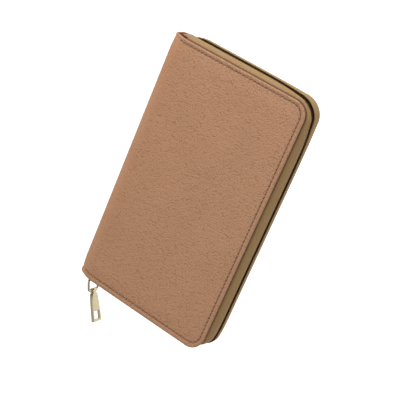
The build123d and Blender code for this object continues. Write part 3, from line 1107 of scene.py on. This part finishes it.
def lining_skin(side):
    """Lining of one cover and half of the spine, in one cloth shaped round the fold."""
    route = edge_route(1.5, 0.0, 0.0)
    rings = [(r, LINING_DEPTH) for r in (0.0, 3.0, 6.0)] + LINING_EDGE
    rings += [(r, LINING_DEPTH - 0.40) for r in (6.0, 3.0, 0.0)]
    sheet = [(s + ds * r, y + dy * r, h) for s, y, ds, dy, _ in route for r, h in rings]
    faces = grid_faces(len(route), len(rings))
    columns = [place[0] for place in route if place[3] == -1.0 and place[1] < 0] + [CORNER_S]
    ys = [place[1] for place in route if place[2] == 1.0]
    for depth in (LINING_DEPTH, LINING_DEPTH - 0.40):
        start = len(sheet)
        sheet += [(s, y, depth) for s in columns for y in ys]
        faces += grid_faces(len(columns), len(ys), offset=start)
    places = [(s if side == "front" else -s, y) for s, y, _ in sheet]
    obj = cloth_object(f"{side}_lining_cloth", on_cover(side, sheet), faces, LINING, places)
    tidy_normals(obj, 0.02, fill=True)
    low = Vector((SPINE_X + 2, 0, MID_Z + 2)) * MM
    high = Vector((SPINE_X + 7, 0, FOLD_Z + 1)) * MM
    if side == "front":
        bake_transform(obj)
        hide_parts("front_lining", "spine_lining")
    else:
        low.z, high.z = THICK * MM - low.z, THICK * MM - high.z
        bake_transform(obj)
        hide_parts("back_lining")


HOLLOW = 3.6
TAB_HALF_INNER = 6.6
TAB_GAP = 0.15


def end_tab(name, node):
    """Padded leather wedge that closes the zip's end between the two covers."""
    low, high = mm_box(node)
    low.x += HOLLOW
    rows, columns, vertices, places = 13, 15, [], []
    for face in (1, 0):
        for i in range(rows):
            t = i / (rows - 1)
            x = low.x + (high.x - low.x) * t
            half = (1 - t) * TAB_HALF_INNER + t * (high.z - low.z - 1.4) / 2 - TAB_GAP
            for j in range(columns):
                v = -1 + 2 * j / (columns - 1)
                edge = math.sqrt(max(0.0, 1 - abs(v) ** 6) * max(0.0, 1 - abs(2 * t - 1) ** 8))
                puff = (0.5 + 0.5 * edge) if face else (0.5 - 0.5 * edge)
                vertices.append((x, low.y + (high.y - low.y) * puff, MID_Z + v * half))
                places.append((x + 40 * face, v * half + 20))
    count = rows * columns
    faces = grid_faces(rows, columns) + grid_faces(rows, columns, offset=count)
    # The wedge wears the darker leather copy: painted shade for the hollow at the spine's end.
    obj = cloth_object(name, vertices, faces, LEATHER_SHADED, places)
    return finish_piece(obj, "spine", [node])


def coin_tape():
    """Coin pocket's zip tape: two woven bands with a groove between them."""
    low, high = mm_box("coin_zip_tape")
    ys = rim_spread(low.y, high.y, 4.0)
    middle = (low.x + high.x) / 2
    across = [low.x, low.x + 0.2, low.x + 2, middle - 2.2, middle - 1.6, middle - 0.3, middle,
              middle + 0.3, middle + 1.6, middle + 2.2, high.x - 2, high.x - 0.2, high.x]
    vertices, places = [], []
    for y in ys:
        ring = [(x, 0.12 if x in (low.x, high.x, middle) else 0.5) for x in across]
        ring += [(x, 0.0) for x in across[::-1]]
        for x, h in ring:
            vertices.append((x, y, low.z + h))
            places.append((y, x))
    faces = tube_faces(len(ys), 2 * len(across))
    obj = cloth_object("coin_tape", vertices, faces, TAPE_INSIDE, places)
    return finish_piece(obj, "back_cover", ["coin_zip_tape"])


def coin_coil():
    """Coin pocket's two coils, closed on each other."""
    low, high = mm_box("coin_zip_coil")
    middle, pitch = (low.x + high.x) / 2, 1.1
    turns = int((high.y - low.y) / pitch)
    pieces = []
    for side in (-1, 1):
        t = np.arange(turns * 8) / 8
        angle = 2 * math.pi * t
        points = np.stack([middle + side * (0.5 + 0.62 * np.cos(angle)),
                           low.y + (t + 0.25 * side) * pitch + 0.3,
                           low.z + 0.6 + 0.36 * np.sin(angle)], axis=1)
        pieces.append(wire(f"coin_strand_{side}", points, 0.23, COIL_SHADED))
    obj = join("coin_coil", *pieces)
    return finish_piece(obj, "back_cover", ["coin_zip_coil"])


def inside():
    """Everything between the covers."""
    for side in ("front", "back"):
        lining_skin(side)
    cloth = {"front": ["bill_pocket_leaf"], "back": ["coin_pocket_panel", "coin_pocket_border"]}
    for side, nodes in cloth.items():
        for node in nodes:
            leaf(node, LINING, side + "_cover")
    for side, nodes in cloth.items():
        cloth_seams(side, nodes)
    card_slots("back", 4)
    card_slots("front", 5)
    coin_tape()
    coin_coil()
    for place in ("top", "bottom"):
        end_tab(f"{place}_end_tab", f"zip_end_tab_{place}")


def cad_materials():
    """Materials for the CAD nodes that stay as they are."""
    plain = {"back_board": BOARD, "front_board": BOARD, "back_zip_stops": METAL,
             "front_zip_stops": METAL, "coin_zip_slider": METAL, "coin_zip_pull": METAL}
    for obj in bpy.data.objects:
        if obj.name in plain:
            obj.data.materials.clear()
            obj.data.materials.append(plain[obj.name])


# ---- build ----
for cover in ("front", "back"):
    leather_skin(cover)
    stitching(cover)
    zip_tape(cover)
    edge_shade_binding(cover)
    zip_coil(cover)
slider_pieces()
ring_piece()
tab_piece()
inside()
cad_materials()


# ---- stage ----
def look_camera():
    """Camera in front of the top fore-edge side, by its place and axes in the frame."""
    corner = Vector((FORE_X - 115.4, HALF_HEIGHT, THICK))
    place = corner + Vector((356.9, 160.2, 669.0))
    back = Vector((0.373, 0.334, 0.866)).normalized()
    right = Vector((0.79, 0.375, -0.485))
    right = (right - back * right.dot(back)).normalized()
    up = back.cross(right)
    data = bpy.data.cameras.new("camera")
    data.sensor_width = 36.0
    data.lens = 98.4
    data.clip_start = 0.01
    camera = bpy.data.objects.new("camera", data)
    turn = Matrix((right, up, back)).transposed().to_4x4()
    camera.matrix_world = Matrix.Translation(place * MM) @ turn
    bpy.context.scene.collection.objects.link(camera)
    bpy.context.scene.camera = camera
    return right, up, back


def area_light(name, place, aim, size, power):
    """A soft rectangular light."""
    data = bpy.data.lights.new(name, "AREA")
    data.shape = "RECTANGLE"
    data.size, data.size_y = size
    data.energy = power
    light = bpy.data.objects.new(name, data)
    light.location = place
    light.rotation_euler = (Vector(aim) - Vector(place)).to_track_quat("-Z", "Y").to_euler()
    bpy.context.scene.collection.objects.link(light)


def studio(right, up, back):
    """Pale floor well under the wallet, soft lights above and in front of it, a pale world."""
    floor_size, floor_depth, floor_glow, below, above = 30.0, 0.35, 0.56, 0.05, 0.72
    bpy.ops.mesh.primitive_plane_add(size=floor_size, location=(0, 0, -floor_depth))
    floor = bpy.context.object
    floor.name = "floor"
    n = Nodes("pale_floor")
    pale = n.finish((0.93, 0.93, 0.93), None, 0.9, Specular_IOR_Level=0.1,
                    Emission_Strength=floor_glow)
    pale.node_tree.nodes["Principled BSDF"].inputs["Emission Color"].default_value = (1, 1, 1, 1)
    floor.data.materials.append(pale)
    centre = Vector((0, 0, THICK / 2)) * MM
    area_light("key", centre + up * 0.75 + back * 0.50 - right * 0.12, centre, (0.8, 0.35), 5.3)
    area_light("front", centre + back * 1.2 - right * 0.45 + up * 0.25, centre, (0.8, 0.8), 4.6)
    world = bpy.data.worlds.new("world")
    bpy.context.scene.world = world
    n = Nodes("world", world)
    height = n.split(n.add("ShaderNodeTexCoord").outputs["Generated"])[2]
    stops = [(0.0, below), (0.40, below), (0.56, above), (1.0, above)]
    background = n.tree.nodes["Background"]
    n.link(n.ramp(height, [(place, (grey,) * 3) for place, grey in stops]), background.inputs[0])
    background.inputs[1].default_value = 1.0


studio(*look_camera())
bpy.context.scene.view_settings.view_transform = "Standard"
